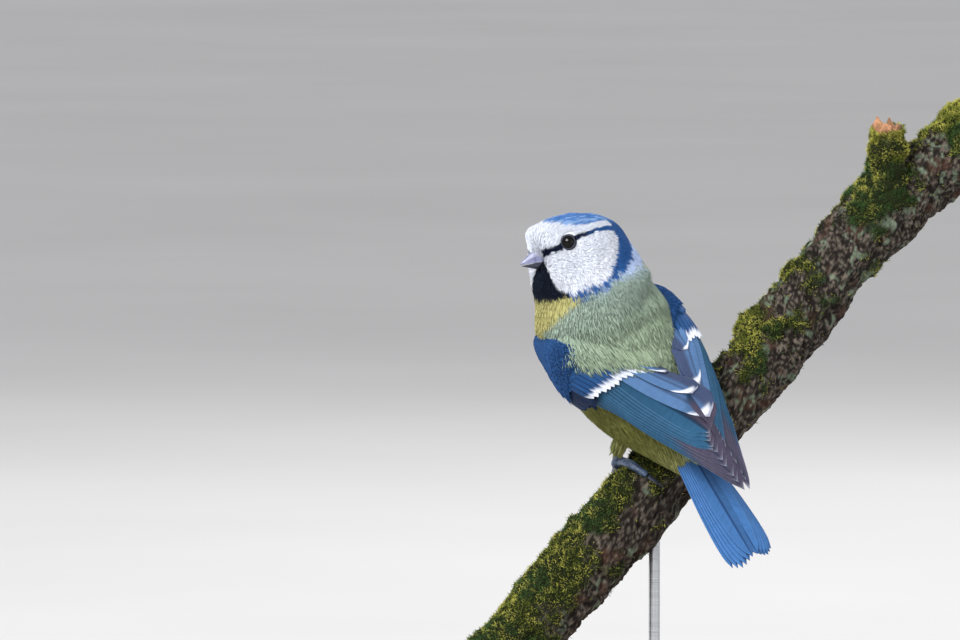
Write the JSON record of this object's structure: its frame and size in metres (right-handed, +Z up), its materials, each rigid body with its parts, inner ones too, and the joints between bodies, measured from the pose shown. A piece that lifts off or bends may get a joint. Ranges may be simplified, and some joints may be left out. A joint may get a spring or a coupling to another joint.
{
  "type": "blue tit",
  "caption": "Blue tit, small songbird in a life-size museum pose, looking back over its shoulder from a mossy branch on a plain display stand.",
  "frame": {"origin": "middle of the underside of the stand's base", "axes": "+Z up; +X along the base's long side, the way the branch rises; the bird faces away from -Y and towards -X, and shows its back to -Y"},
  "size_m": [0.1459, 0.0674, 0.1725],
  "materials": {
    "head_plumage": "soft matte feathers, pale with a blue cap",
    "body_plumage": "soft matte feathers, olive green and yellow",
    "wing_feathers": "smooth satin vanes, blue with white tips",
    "tail_feathers": "smooth satin vanes, bright blue",
    "eye": "wet gloss, near black",
    "bill_horn": "satin horn, dark grey",
    "leg_scales": "scaled blue-grey skin",
    "claw_horn": "satin dark horn",
    "bark": "rough bark with moss and lichen",
    "stand_wood": "satin varnish",
    "stand_steel": "brushed"
  },
  "bodies": {
    "root": {"head": "head_plumage", "neck": "body_plumage", "torso": "body_plumage", "bill_upper": "bill_horn", "bill_lower": "bill_horn", "tail": "tail_feathers", "wing_left": "wing_feathers", "wing_right": "wing_feathers", "eye_left": "eye", "eye_right": "eye", "leg_left": "leg_scales", "leg_right": "leg_scales", "foot_left": "leg_scales", "foot_right": "leg_scales", "claw_left_back": "claw_horn", "claw_left_inner": "claw_horn", "claw_left_middle": "claw_horn", "claw_left_outer": "claw_horn", "claw_right_back": "claw_horn", "claw_right_inner": "claw_horn", "claw_right_middle": "claw_horn", "claw_right_outer": "claw_horn", "perch": "bark", "stand_base": "stand_wood", "stand_rod_low": "stand_steel", "stand_rod_high": "stand_steel"}
  },
  "joints": []
}
